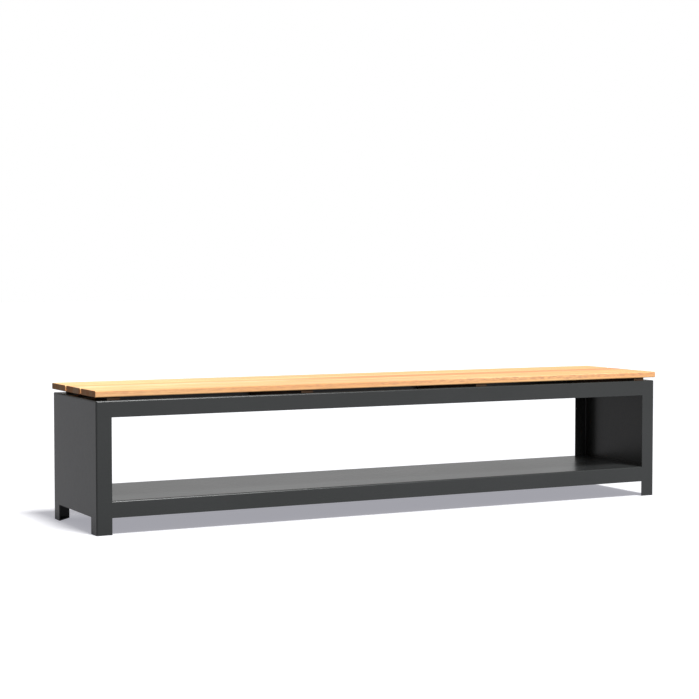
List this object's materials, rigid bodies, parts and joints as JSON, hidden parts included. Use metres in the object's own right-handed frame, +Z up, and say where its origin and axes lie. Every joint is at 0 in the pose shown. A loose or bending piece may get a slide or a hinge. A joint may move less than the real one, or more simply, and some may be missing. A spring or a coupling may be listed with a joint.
{
  "type": "log storage bench",
  "caption": "Long, low bench with a folded steel frame, an open bay for logs below and a slatted wooden seat.",
  "frame": {"origin": "on the floor, under the middle of the bench", "axes": "+X along the bench to its right end, seen from the front, +Y to its back, +Z up"},
  "size_m": [2.006, 0.406, 0.424],
  "materials": {
    "powder_coated_steel": "black satin powder coat",
    "seat_wood": "oiled light hardwood, long grain",
    "bearer_wood": "dark sawn wood, unfinished",
    "screw_steel": "zinc plated"
  },
  "bodies": {
    "root": {"left_end_panel": "powder_coated_steel", "right_end_panel": "powder_coated_steel", "front_top_rail": "powder_coated_steel", "back_top_rail": "powder_coated_steel", "log_shelf": "powder_coated_steel", "left_shelf_rib": "powder_coated_steel", "middle_shelf_rib": "powder_coated_steel", "right_shelf_rib": "powder_coated_steel", "front_left_foot_plate": "powder_coated_steel", "front_right_foot_plate": "powder_coated_steel", "back_left_foot_plate": "powder_coated_steel", "back_right_foot_plate": "powder_coated_steel", "left_front_bracket": "powder_coated_steel", "left_back_bracket": "powder_coated_steel", "middle_left_front_bracket": "powder_coated_steel", "middle_left_back_bracket": "powder_coated_steel", "middle_right_front_bracket": "powder_coated_steel", "middle_right_back_bracket": "powder_coated_steel", "right_front_bracket": "powder_coated_steel", "right_back_bracket": "powder_coated_steel", "left_bearer": "bearer_wood", "middle_left_bearer": "bearer_wood", "middle_right_bearer": "bearer_wood", "right_bearer": "bearer_wood", "front_plank": "seat_wood", "middle_plank": "seat_wood", "back_plank": "seat_wood", "plank_screws": "screw_steel", "seat_screws": "screw_steel", "seat_washers": "screw_steel"}
  },
  "joints": []
}
